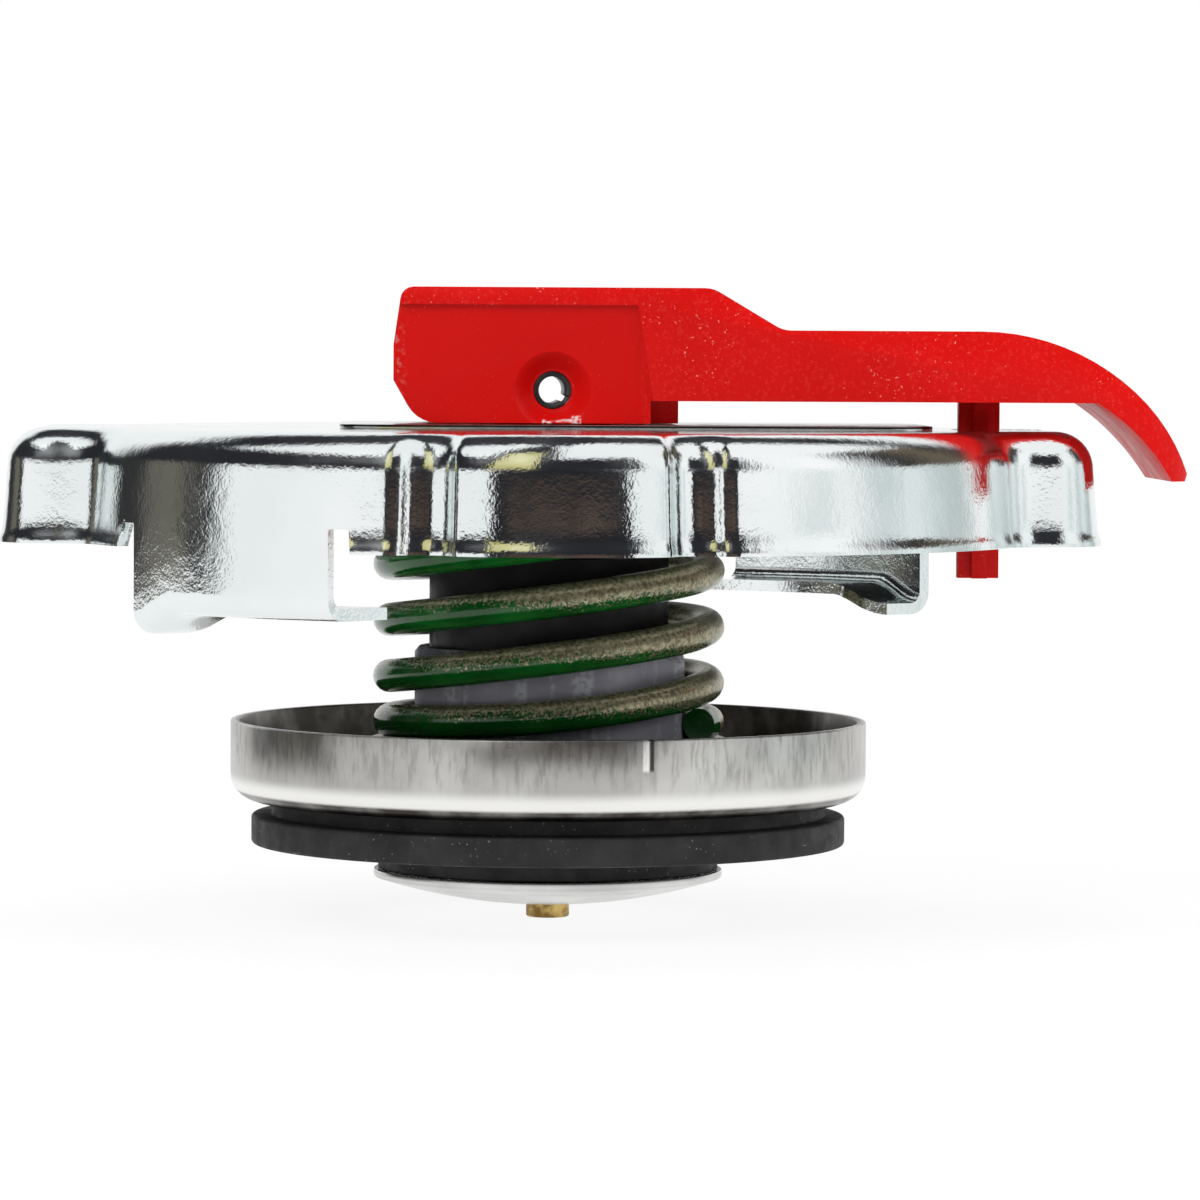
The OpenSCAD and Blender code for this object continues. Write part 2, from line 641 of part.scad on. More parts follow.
// Section of the cup: out along the raised middle, down, across the floor and up the wall.
function cup_under() = concat(
  [[rivet_radius + 0.6, hat_z - cup_sheet]],
  arc([hat_radius - 0.9, hat_z - 0.9], 0.9 - cup_sheet, 90, 0, 5),
  arc([hat_radius + 0.9, cup_floor_z + 0.9 + cup_sheet], 0.9 + cup_sheet, 180, 270, 5),
  arc([cup_radius - cup_edge, cup_floor_z + cup_edge], cup_edge, 270, 360, 7),
  [[cup_radius, -rim_drop]]);
function cup_top() = concat(
  [[rivet_radius + 0.6, hat_z]],
  arc([hat_radius - 0.9, hat_z - 0.9], 0.9, 90, 0, 5),
  arc([hat_radius + 0.9, cup_floor_z + 0.9 + cup_sheet], 0.9, 180, 270, 5),
  arc([cup_radius - cup_edge, cup_floor_z + cup_edge], cup_edge - cup_sheet, 270, 360, 7),
  [[cup_radius - cup_sheet, -rim_drop]]);

module pressure_cup() {
  color([0.68, 0.66, 0.63])
  difference() {
    rotate_extrude()
      polygon(concat(cup_under(), flip(cup_top())));
    for (a = [0:45:315])
      rotate(a)
      translate([a % 90 == 0 ? stake_ring : stake_ring - 0.6, 0, hat_z - 2])
        cylinder(r = a % 90 == 0 ? stake_radius + 0.05 : 1, h = 4);
  }
}

// Eyelet that holds the gasket, from the underside of the raised middle to a flange below.
barrel_radius = lip_radius - 0.75 - 1.35;
module gasket_eyelet() {
  barrel_z = hat_z - cup_sheet;
  color([0.7, 0.7, 0.7])
  rotate_extrude() {
    translate([barrel_radius - eyelet_sheet, face_z - eyelet_sheet])
      square([eyelet_sheet, barrel_z - face_z + eyelet_sheet]);
    translate([barrel_radius - eyelet_sheet, face_z - eyelet_sheet])
      square([eyelet_sheet + 1.2, eyelet_sheet]);
  }
}

module pressure_gasket() {
  hole = barrel_radius + 0.05;
  lip_inner = lip_radius - 0.75;
  color([0.11, 0.11, 0.115])
  rotate_extrude()
    polygon([[hole, cup_floor_z], [gasket_radius - gasket_groove, cup_floor_z],
      [gasket_radius - gasket_groove, face_top_z], [gasket_radius - 0.15, face_top_z],
      [gasket_radius, face_top_z - 0.15], [gasket_radius, face_z + 0.15], [gasket_radius - 0.15, face_z],
      [lip_radius, face_z], [lip_radius, disc_z], [lip_inner, disc_z], [lip_inner, face_z], [hole, face_z]]);
}

// Dished plate, with its rim against the gasket's lip.
dish_sphere = (disc_radius * disc_radius + disc_dish * disc_dish) / (2 * disc_dish);
function dish_z(r) = disc_z - disc_sheet - disc_dish + dish_sphere - sqrt(dish_sphere * dish_sphere - r * r);
dish_steps = 8;
module vacuum_plate() {
  radii = [for (i = [0:dish_steps]) rivet_radius + (disc_radius - rivet_radius) * i / dish_steps];
  color([0.75, 0.75, 0.74])
  rotate_extrude()
    polygon(concat([for (r = radii) [r, dish_z(r)]], [for (r = flip(radii)) [r, dish_z(r) + disc_sheet]]));
}

module vacuum_stem() {
  seat_z = dish_z(rivet_radius + 1) + disc_sheet;
  color([0.75, 0.6, 0.25])
  union() {
    translate([0, 0, dish_z(rivet_radius) - rivet_tail])
      cylinder(r = rivet_radius, h = lid_washer_z + washer_thick - dish_z(rivet_radius) + rivet_tail);
    translate([0, 0, seat_z])
      cylinder(r = rivet_radius + 1, h = 0.8);
    translate([0, 0, lid_washer_z + washer_thick])
      cylinder(r = rivet_radius + 0.4, h = 0.5);
  }
}

module spring_washer() {
  color([0.72, 0.72, 0.72])
  translate([0, 0, lid_washer_z])
  difference() {
    cylinder(r = lid_coil + 0.7, h = washer_thick);
    translate([0, 0, -1])
      cylinder(r = rivet_radius, h = washer_thick + 2);
  }
}

module vacuum_spring() {
  turns = 5;
  steps = turns * 16;
  rise = lid_spring_height - 2 * lid_wire;
  color([0.6, 0.6, 0.6])
    wire_sweep([for (i = [0:steps]) collar_floor_z + lid_wire + rise * ease(i / steps)], 0, 360 / 16,
      lid_coil, lid_wire, 6);
}

shell();
wear_plate();
lever();
pivot_pin();
lift_stem();
neck_seal();
spring_seat();
main_spring();
collar();
pressure_cup();
pressure_gasket();
gasket_eyelet();
vacuum_plate();
vacuum_stem();
vacuum_spring();
spring_washer();
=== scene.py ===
"""Radiator cap with a vent lever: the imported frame, dressed and lit like the photograph."""

import math

import bmesh
import bpy
import numpy as np
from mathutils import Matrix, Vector


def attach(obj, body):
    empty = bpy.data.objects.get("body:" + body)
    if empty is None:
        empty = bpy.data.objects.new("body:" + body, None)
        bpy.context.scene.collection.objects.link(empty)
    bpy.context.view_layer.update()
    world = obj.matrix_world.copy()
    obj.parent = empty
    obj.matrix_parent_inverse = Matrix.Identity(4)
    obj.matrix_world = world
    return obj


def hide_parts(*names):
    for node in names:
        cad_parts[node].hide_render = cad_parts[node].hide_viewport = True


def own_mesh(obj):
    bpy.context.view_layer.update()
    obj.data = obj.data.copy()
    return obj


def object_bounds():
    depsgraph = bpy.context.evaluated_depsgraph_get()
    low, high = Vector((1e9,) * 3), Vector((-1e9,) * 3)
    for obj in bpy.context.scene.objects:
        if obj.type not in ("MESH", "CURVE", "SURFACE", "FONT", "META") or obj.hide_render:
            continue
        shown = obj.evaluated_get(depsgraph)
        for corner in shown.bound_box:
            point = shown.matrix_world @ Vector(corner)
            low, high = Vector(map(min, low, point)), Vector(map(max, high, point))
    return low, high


MM = 0.001

# Sizes of the shell and the spring in millimetres, as in the part's source.
SHEET = 0.8
SHELL_RADIUS = 32.8
TOP_Z = 2.6
SKIRT_Z = -5.2
FILLET = 2.6
FLARE = 0.35
DRAFT = 0.25
TOP_BORDER = 0.5
EAR_REACH = 37.3
EAR_HALF = 10.2
EAR_CORNER = 3.8
EAR_ROOT = 3.0
NOSE_REACH = 34.0
NOSE_RADIUS = 13.0
GROOVE_ANGLE = 15.6
GROOVE_RADIUS = 2.0
GROOVE_FLOOR = 31.3
GROOVE_EDGE = 1.3
TAB_START = 31.4
TAB_SWEEP = 31.4
LIP_Z = -9.6
LIP_REACH = 5.5
TAB_BEND = 1.6
LEAD_DIP = 1.4
NOTCH_Z = -3.6
TONGUE_ANGLE = 3.0
HOLE_RADIUS = 4.6
SLOT_START = 27.975
SLOT_END = 34.125
SLOT_WIDTH = 3.65
WIRE = 1.15
COIL_MEAN = 11.05
COIL_LOW = -17.75
COIL_HIGH = -1.55
COIL_PITCH = 3.9
COIL_LEAN = 0.8
CUT_ANGLE = -22.0
SPLIT_Z = -12.7

# Camera, fitted to the photograph's 1200 by 1200 frame.
CAMERA_DISTANCE = 400.0
CAMERA_AZIMUTH = 268.0
CAMERA_ELEVATION = 2.49
CAMERA_ROLL = 0.3
FOCAL = 172.8
AIM_RIGHT = 3.54
AIM_Z = -9.34

# Plane of the cards that the plating mirrors.
CARD_Y = -66.0


def cosd(a):
    return math.cos(math.radians(a))


def sind(a):
    return math.sin(math.radians(a))


def heading(v):
    return math.degrees(math.atan2(v[1], v[0]))


def ease(x):
    t = min(1.0, max(0.0, x))
    return t * t * (3 - 2 * t)


def arc(centre, radius, a, b, n, last=True):
    """Points along an arc, with or without its last one."""
    count = n + 1 if last else n
    angles = [a + (b - a) * i / n for i in range(count)]
    return [(centre[0] + radius * cosd(t), centre[1] + radius * sind(t)) for t in angles]


def ear_root_centre():
    """Centre of the arc that leads from an ear into the round part."""
    across = EAR_HALF + EAR_ROOT
    return math.sqrt((SHELL_RADIUS + EAR_ROOT) ** 2 - across ** 2), across


def wall_columns():
    """Angles of the wall columns on the round part: 0 is plain wall, 1 a notch and 2 a tab."""
    root = heading(ear_root_centre())
    end = TAB_START + TAB_SWEEP
    columns = [(a, 0) for a in np.linspace(root, TAB_START - 3, 6)]
    columns += [(TAB_START - 2.6, 1), (TAB_START - 1.5, 1), (TAB_START - 0.4, 1)]
    columns += [(a, 2) for a in np.linspace(TAB_START, end, 41)]
    columns += [(end + 0.4, 1), (end + 1.5, 1), (end + 2.6, 1), (end + 3, 0)]
    return root, columns


def quarter(e):
    """One quarter of the shell outline, moved in by e, as points and their marks."""
    root, columns = wall_columns()
    radius = SHELL_RADIUS - e
    corner = max(EAR_CORNER - e, 0.3)
    g = [(GROOVE_FLOOR + GROOVE_RADIUS - e) * f(GROOVE_ANGLE) for f in (sind, cosd)]
    gr = math.hypot(*g)
    span = GROOVE_RADIUS + GROOVE_EDGE
    rim = radius - GROOVE_EDGE
    swing = math.acos((rim * rim + gr * gr - span * span) / (2 * rim * gr))
    turn = GROOVE_ANGLE + math.degrees(swing)
    c1 = (rim * sind(turn), rim * cosd(turn))
    nose = (0.0, NOSE_REACH - NOSE_RADIUS)
    inner = NOSE_RADIUS - e - GROOVE_EDGE
    dx, dy = g[0] - nose[0], g[1] - nose[1]
    d = math.hypot(dx, dy)
    along = (inner * inner - span * span + d * d) / (2 * d)
    off = math.sqrt(max(0.0, inner * inner - along * along))
    c2 = (nose[0] + (along * dx - off * dy) / d, nose[1] + (along * dy + off * dx) / d)
    start = heading(c1)
    lead = [(EAR_REACH - e, y) for y in np.linspace(0, EAR_HALF - e - corner, 7)[:-1]]
    lead += arc((EAR_REACH - e - corner, EAR_HALF - e - corner), corner, 0, 90, 14)
    lead += arc(ear_root_centre(), EAR_ROOT + e, 270, 180 + root, 10, last=False)
    wall = [(radius * cosd(a), radius * sind(a)) for a, _ in columns]
    after = columns[-1][0]
    trail = [(radius * cosd(a), radius * sind(a)) for a in np.linspace(after, start, 5)[1:-1]]
    trail += arc(c1, GROOVE_EDGE, start, heading((g[0] - c1[0], g[1] - c1[1])), 8, last=False)
    trail += arc(g, GROOVE_RADIUS, heading((c1[0] - g[0], c1[1] - g[1])) + 360,
                 heading((c2[0] - g[0], c2[1] - g[1])) + 360, 10, last=False)
    trail += arc(c2, GROOVE_EDGE, heading((g[0] - c2[0], g[1] - c2[1])),
                 heading((c2[0] - nose[0], c2[1] - nose[1])), 8, last=False)
    trail += arc(nose, NOSE_RADIUS - e, heading((c2[0] - nose[0], c2[1] - nose[1])), 90, 14)
    marks = [0] * len(lead) + [m for _, m in columns] + [0] * len(trail)
    return lead + wall + trail, marks


def outline(e):
    """The whole outline round all four quarters; tabs are on the first and the third."""
    points, marks = quarter(e)
    plain = [0] * len(points)
    left = [(-x, y) for x, y in points][::-1]
    right = [(x, -y) for x, y in points][::-1]
    half = [(-x, -y) for x, y in points]
    loop = points + left[1:] + half[1:] + right[1:-1]
    return loop, marks + plain[1:] + marks[1:] + plain[1:-1]


def shell_rings():
    """Wall section as inset and height, up the outside and down the inside."""
    steps = 10
    outer = [(-FLARE, SKIRT_Z), (-FLARE, SKIRT_Z + 0.3), (-FLARE * 0.6, SKIRT_Z + 0.62)]
    outer += [(-FLARE * 0.25, SKIRT_Z + 1.1), (0.0, SKIRT_Z + 2.0)]
    turns = [90.0 * i / steps for i in range(steps + 1)]
    outer += [(DRAFT + FILLET * (1 - cosd(a)), TOP_Z - FILLET * (1 - sind(a))) for a in turns]
    flat_start = DRAFT + FILLET + TOP_BORDER
    outer.append((flat_start, TOP_Z))
    inside = FILLET - SHEET
    inner = [(flat_start, TOP_Z - SHEET)]
    inner += [(SHEET + DRAFT + inside * (1 - cosd(a)), TOP_Z - SHEET - inside * (1 - sind(a)))
              for a in turns[::-1]]
    inner += [(SHEET, SKIRT_Z + 2.0), (SHEET - FLARE * 0.35, SKIRT_Z + 0.9), (SHEET - FLARE, SKIRT_Z)]
    return outer, inner


def tab_section():
    """Section of a tab below the notches: down the inside, round the lip and up the outside."""
    inside = TAB_BEND - SHEET
    turns = [90.0 * i / 8 for i in range(9)]
    points = [(SHEET + inside * (1 - cosd(a)), LIP_Z + TAB_BEND - inside * sind(a)) for a in turns]
    points += [(LIP_REACH * 0.62, LIP_Z + SHEET), (LIP_REACH, LIP_Z + SHEET)]
    points += [(LIP_REACH, LIP_Z), (LIP_REACH * 0.62, LIP_Z)]
    points += [(TAB_BEND * (1 - cosd(a)), LIP_Z + TAB_BEND - TAB_BEND * sind(a)) for a in turns[::-1]]
    return points


def tab_point(p, step, angle, turn):
    """A point of a tab column; step runs from 0 at the leading end to 10."""
    share = min(1.0, max(0.0, (p[0] - SHEET) / (LIP_REACH - SHEET)))
    keep = np.interp(step, [0, 1, 2], [0.55, 0.85, 1.0])
    inset = TAB_BEND + (p[0] - TAB_BEND) * keep if p[0] > TAB_BEND else p[0]
    at = turn + angle + TONGUE_ANGLE * share * max(0.0, step - 9)
    dip = LEAD_DIP * ease((2.5 - step) / 2.5)
    radius = SHELL_RADIUS - inset
    return radius * cosd(at), radius * sind(at), p[1] - dip


def link_mesh(name, verts, faces):
    """A new mesh object from points in millimetres."""
    mesh = bpy.data.meshes.new(name)
    mesh.from_pydata([Vector(v) * MM for v in verts], [], faces)
    bm = bmesh.new()
    bm.from_mesh(mesh)
    bmesh.ops.recalc_face_normals(bm, faces=bm.faces)
    bm.to_mesh(mesh)
    bm.free()
    obj = bpy.data.objects.new(name, mesh)
    bpy.context.scene.collection.objects.link(obj)
    return obj


def smooth(obj, angle=35):
    """Smooth shading, with edges sharper than the angle kept."""
    obj.data.polygons.foreach_set("use_smooth", [True] * len(obj.data.polygons))
    obj.data.set_sharp_from_angle(angle=math.radians(angle))


def bake_modifiers(obj):
    """Applies the modifiers to the object's own mesh."""
    depsgraph = bpy.context.evaluated_depsgraph_get()
    mesh = bpy.data.meshes.new_from_object(obj.evaluated_get(depsgraph))
    obj.modifiers.clear()
    obj.data = mesh


def cut(obj, tool):
    """Cuts a tool's solid out of the object and deletes the tool."""
    modifier = obj.modifiers.new("cut", "BOOLEAN")
    modifier.operation = "DIFFERENCE"
    modifier.solver = "EXACT"
    modifier.object = tool
    bake_modifiers(obj)
    bpy.data.objects.remove(tool)


def box_tool(low, high):
    """A plain box between two corners, for cutting."""
    spans = list(zip(low, high))
    points = [(x, y, z) for x in spans[0] for y in spans[1] for z in spans[2]]
    faces = [(0, 1, 3, 2), (4, 6, 7, 5), (0, 4, 5, 1), (2, 3, 7, 6), (0, 2, 6, 4), (1, 5, 7, 3)]
    return link_mesh("tool", points, faces)


def tube_tool(radius, low, high, sides=96):
    """A plain cylinder on the axis, for cutting."""
    ring = [(radius * cosd(360 * i / sides), radius * sind(360 * i / sides)) for i in range(sides)]
    verts = [(x, y, low) for x, y in ring] + [(x, y, high) for x, y in ring]
    faces = [(i, (i + 1) % sides, sides + (i + 1) % sides, sides + i) for i in range(sides)]
    faces += [tuple(range(sides))[::-1], tuple(range(sides, 2 * sides))]
    return link_mesh("tool", verts, faces)


def build_shell():
    """The pressed shell with its lips, finer than the CAD solid."""
    outer, inner = shell_rings()
    rings = outer + inner
    _, marks = outline(0)
    columns = len(marks)
    loops = [outline(e)[0] for e, _ in rings]
    plain_outer, plain_inner = outline(0)[0], outline(SHEET)[0]
    verts = []
    for k, (e, z) in enumerate(rings):
        low = min(1.0, max(0.0, (SKIRT_Z + 2 - z) / 2))
        for i in range(columns):
            if marks[i] == 0 or low == 0:
                verts.append((*loops[k][i], z))
            else:
                flat = plain_outer if k < len(outer) else plain_inner
                verts.append((*flat[i], NOTCH_Z + 0.4 * (1 - low)))
    caps = len(verts)
    verts += [(0, 0, TOP_Z), (0, 0, TOP_Z - SHEET)]
    _, wall = wall_columns()
    tab_angles = [a for a, m in wall if m == 2]
    section = tab_section()
    for turn in (0, 180):
        for j, angle in enumerate(tab_angles):
            verts += [tab_point(p, 10 * j / (len(tab_angles) - 1), angle, turn) for p in section]
    tab_columns = [i for i in range(columns) if marks[i] == 2]
    width = len(tab_angles)

    def at(k, i):
        return k * columns + i % columns

    def tab_loop(t, j):
        column = tab_columns[t * width + j]
        start = caps + 2 + (t * width + j) * len(section)
        lip = list(range(start, start + len(section)))
        return [at(len(rings) - 1, column)] + lip + [at(0, column)]

    top = len(outer) - 1
    faces = []
    for k in range(len(rings) - 1):
        if k != top:
            faces += [(at(k, i), at(k + 1, i), at(k + 1, i + 1), at(k, i + 1)) for i in range(columns)]
    for i in range(columns):
        faces.append((at(top, i), caps, at(top, i + 1)))
        faces.append((caps + 1, at(top + 1, i), at(top + 1, i + 1)))
        if marks[i] != 2 or marks[(i + 1) % columns] != 2:
            last = len(rings) - 1
            faces.append((at(last, i), at(0, i), at(0, i + 1), at(last, i + 1)))
    for t in (0, 1):
        for j in range(width - 1):
            a, b = tab_loop(t, j), tab_loop(t, j + 1)
            faces += [(a[s], a[s + 1], b[s + 1], b[s]) for s in range(len(a) - 1)]
        for j in (0, width - 1):
            ring = tab_loop(t, j)
            n = len(ring)
            faces += [(ring[s], ring[s + 1], ring[n - 2 - s], ring[n - 1 - s])
                      for s in range(n // 2 - 1)]
    shell = link_mesh("shell_pressing", verts, faces)
    cut(shell, tube_tool(HOLE_RADIUS, TOP_Z - 2 * SHEET, TOP_Z + SHEET))
    slot_low = (SLOT_START, -SLOT_WIDTH / 2, TOP_Z - 2 * SHEET)
    slot_high = (SLOT_END, SLOT_WIDTH / 2, TOP_Z + SHEET)
    cut(shell, box_tool(slot_low, slot_high))
    smooth(shell, 40)
    return shell


def coil_z(a):
    """Height of the main spring's wire at a turn angle."""
    end = 180 + 360 * (COIL_HIGH - COIL_LOW) / COIL_PITCH
    lean = COIL_LEAN * cosd(a) * ease((a - 180) / 170) * ease((end - a) / 170)
    return min(COIL_HIGH, COIL_LOW + max(0.0, COIL_PITCH * (a - 180) / 360) + lean)


def build_wire(name, start, end, facets=20, step=7.0):
    """A stretch of the main spring between two turn angles."""
    count = int(round((end - start) / step))
    verts = []
    for i in range(count + 1):
        a = start + (end - start) * i / count
        for j in range(facets):
            r = COIL_MEAN + WIRE * cosd(360 * j / facets)
            verts.append((r * cosd(a), r * sind(a), coil_z(a) + WIRE * sind(360 * j / facets)))
    faces = []
    for i in range(count):
        for j in range(facets):
            n = (j + 1) % facets
            faces.append((i * facets + j, i * facets + n, (i + 1) * facets + n, (i + 1) * facets + j))
    faces += [tuple(range(facets))[::-1], tuple(range(count * facets, (count + 1) * facets))]
    wire = link_mesh(name, verts, faces)
    smooth(wire, 50)
    return wire


def refine(node, name, bevel, segments=2, angle=30):
    """A copy of a CAD node with joined faces and softly broken edges."""
    mesh = node.data.copy()
    bm = bmesh.new()
    bm.from_mesh(mesh)
    bmesh.ops.remove_doubles(bm, verts=bm.verts, dist=1e-6)
    bmesh.ops.dissolve_limit(bm, angle_limit=math.radians(0.4), verts=bm.verts, edges=bm.edges)
    bm.to_mesh(mesh)
    bm.free()
    mesh.materials.clear()
    obj = bpy.data.objects.new(name, mesh)
    bpy.context.scene.collection.objects.link(obj)
    modifier = obj.modifiers.new("edges", "BEVEL")
    modifier.width = bevel * MM
    modifier.segments = segments
    modifier.limit_method = "ANGLE"
    modifier.angle_limit = math.radians(angle)
    modifier.use_clamp_overlap = True
    bake_modifiers(obj)
    smooth(obj, 40)
    return obj


class Shader:
    """A material with short calls for the nodes that this scene uses."""

    def __init__(self, name):
        self.material = bpy.data.materials.new(name)
        self.material.use_nodes = True
        self.tree = self.material.node_tree
        self.base = self.tree.nodes["Principled BSDF"]
        self.coords = self.tree.nodes.new("ShaderNodeTexCoord").outputs["Object"]

    def set(self, **values):
        for key, value in values.items():
            socket = self.base.inputs[key.replace("_", " ")]
            socket.default_value = (*value, 1.0) if isinstance(value, tuple) else value

    def link(self, source, target):
        self.tree.links.new(source, target)

    def drive(self, socket, source):
        self.link(source, self.base.inputs[socket])

    def scaled(self, x, y, z):
        node = self.tree.nodes.new("ShaderNodeMapping")
        node.inputs["Scale"].default_value = (x, y, z)
        self.link(self.coords, node.inputs["Vector"])
        return node.outputs["Vector"]

    def noise(self, scale, detail=4.0, rough=0.5, vector=None):
        node = self.tree.nodes.new("ShaderNodeTexNoise")
        node.inputs["Scale"].default_value = scale
        node.inputs["Detail"].default_value = detail
        node.inputs["Roughness"].default_value = rough
        self.link(vector or self.coords, node.inputs["Vector"])
        return node.outputs["Fac"]

    def axis(self, name):
        node = self.tree.nodes.new("ShaderNodeSeparateXYZ")
        self.link(self.coords, node.inputs["Vector"])
        return node.outputs[name]

    def math(self, operation, a, b=None):
        node = self.tree.nodes.new("ShaderNodeMath")
        node.operation = operation
        for socket, value in zip(node.inputs, (a, b)):
            if isinstance(value, (int, float)):
                socket.default_value = value
            elif value is not None:
                self.link(value, socket)
        return node.outputs[0]

    def span(self, value, low, high, to_low=0.0, to_high=1.0):
        node = self.tree.nodes.new("ShaderNodeMapRange")
        node.interpolation_type = "SMOOTHSTEP"
        ends = {"From Min": low, "From Max": high, "To Min": to_low, "To Max": to_high}
        for key, number in ends.items():
            node.inputs[key].default_value = number
        self.link(value, node.inputs["Value"])
        return node.outputs["Result"]

    def mix(self, factor, a, b):
        node = self.tree.nodes.new("ShaderNodeMix")
        node.data_type = "RGBA"
        sockets = [s for s in node.inputs if s.type == "RGBA"]
        for socket, value in zip(sockets, (a, b)):
            if isinstance(value, tuple):
                socket.default_value = (*value, 1.0)
            else:
                self.link(value, socket)
        self.link(factor, node.inputs["Factor"])
        return [s for s in node.outputs if s.type == "RGBA"][0]

    def ramp(self, factor, stops):
        """A colour ramp over angles from -180 to 180 degrees."""
        node = self.tree.nodes.new("ShaderNodeValToRGB")
        elements = node.color_ramp.elements
        while len(elements) < len(stops):
            elements.new(0.5)
        for element, (angle, colour) in zip(elements, stops):
            element.position = (angle + 180) / 360
            element.color = (*colour, 1)
        self.link(factor, node.inputs["Fac"])
        return node.outputs["Color"]

    def radius(self):
        """Distance from the object's own upright axis."""
        x, y = self.axis("X"), self.axis("Y")
        squares = self.math("ADD", self.math("MULTIPLY", x, x), self.math("MULTIPLY", y, y))
        return self.math("SQRT", squares)

    def box(self, x, z, soft=0.0001):
        """1 inside a range of x and z, with soft borders."""
        across = self.math("MULTIPLY", self.span(self.axis("X"), x[0] - soft, x[0] + soft),
                           self.span(self.axis("X"), x[1] + soft, x[1] - soft))
        upright = self.math("MULTIPLY", self.span(self.axis("Z"), z[0] - soft, z[0] + soft),
                            self.span(self.axis("Z"), z[1] + soft, z[1] - soft))
        return self.math("MULTIPLY", across, upright)

    def upward(self):
        """Z of the surface normal."""
        surface = self.tree.nodes.new("ShaderNodeNewGeometry")
        split = self.tree.nodes.new("ShaderNodeSeparateXYZ")
        self.link(surface.outputs["Normal"], split.inputs["Vector"])
        return split.outputs["Z"]

    def glow(self, colour, share=None):
        """Shows a colour as it is, all over or in a share of what is seen."""
        node = self.tree.nodes.new("ShaderNodeEmission")
        if isinstance(colour, tuple):
            node.inputs["Color"].default_value = (*colour, 1)
        else:
            self.link(colour, node.inputs["Color"])
        surface = node.outputs[0]
        if share:
            mix = self.tree.nodes.new("ShaderNodeMixShader")
            self.link(share, mix.inputs["Fac"])
            self.link(self.base.outputs[0], mix.inputs[1])
            self.link(surface, mix.inputs[2])
            surface = mix.outputs[0]
        self.link(surface, self.tree.nodes["Material Output"].inputs["Surface"])

    def bump(self, height, strength, distance, under=None):
        node = self.tree.nodes.new("ShaderNodeBump")
        node.inputs["Strength"].default_value = strength
        node.inputs["Distance"].default_value = distance
        self.link(height, node.inputs["Height"])
        if under:
            self.link(under, node.inputs["Normal"])
        return node.outputs["Normal"]


def plating():
    """Bright plating over a slightly wavy, finely grained pressing."""
    s = Shader("bright_plating")
    s.set(Metallic=1.0)
    cloud = s.noise(90, 3)
    s.drive("Base Color", s.mix(s.span(cloud, 0.35, 0.7), (0.78, 0.83, 0.83), (0.86, 0.89, 0.89)))
    s.drive("Roughness", s.span(s.noise(220, 5), 0.3, 0.75, 0.07, 0.14))
    waves = s.bump(s.noise(160, 2), 0.25, 0.0004)
    grain = s.bump(s.noise(1500, 2), 0.30, 0.00006, waves)
    s.drive("Normal", s.bump(s.noise(5200, 2), 0.40, 0.00003, grain))
    return s.material


def red_plastic():
    """Moulded red plastic with dust, rub marks, a smoother cheek panel and a mark below the pin."""
    s = Shader("red_moulding")
    s.set(IOR=1.5, Specular_IOR_Level=0.09)
    panel = s.math("MULTIPLY", s.span(s.axis("X"), 0.0062, 0.0059),
                   s.span(s.axis("Z"), 0.0112, 0.0109))
    rough_skin = s.math("SUBTRACT", 1.0, panel)
    tone = s.mix(s.span(s.noise(120, 4), 0.35, 0.7), (0.57, 0.003, 0.002), (0.63, 0.004, 0.003))
    tone = s.mix(s.math("MULTIPLY", panel, 0.75), tone, (0.55, 0.003, 0.002))
    grain = s.math("MULTIPLY", s.span(s.noise(4200, 2), 0.52, 0.70), rough_skin)
    tone = s.mix(s.math("MULTIPLY", grain, 0.18), tone, (0.80, 0.06, 0.05))
    dust = s.math("MULTIPLY", s.span(s.noise(5200, 1), 0.70, 0.76),
                  s.span(s.noise(300, 2), 0.42, 0.66))
    dust = s.math("MULTIPLY", dust, s.span(panel, 0.0, 1.0, 0.50, 0.12))
    tone = s.mix(dust, tone, (0.92, 0.42, 0.38))
    rub = s.math("MULTIPLY", s.span(s.axis("X"), -0.0097, -0.0108),
                 s.span(s.noise(2200, 5), 0.5, 0.7))
    tone = s.mix(s.math("MULTIPLY", rub, 0.6), tone, (0.55, 0.20, 0.18))
    bar = s.box((-0.0005, 0.0017), (0.00310, 0.00328), 0.00006)
    knobs = s.math("MAXIMUM", s.box((-0.0007, -0.0001), (0.00290, 0.00350), 0.00008),
                   s.box((0.0013, 0.0019), (0.00290, 0.00350), 0.00008))
    mark = s.math("MULTIPLY", s.math("MAXIMUM", bar, knobs), s.span(s.noise(3000, 3), 0.35, 0.60))
    near_side = s.span(s.axis("Y"), -0.007, -0.0072)
    tone = s.mix(s.math("MULTIPLY", mark, near_side), tone, (0.75, 0.62, 0.60))
    s.drive("Base Color", tone)
    s.drive("Roughness", s.span(s.noise(400, 5), 0.3, 0.7, 0.30, 0.42))
    skin = s.math("MULTIPLY", s.noise(2600, 3), s.span(rough_skin, 0, 1, 0.25, 1.0))
    s.drive("Normal", s.bump(skin, 0.22, 0.00006))
    return s.material


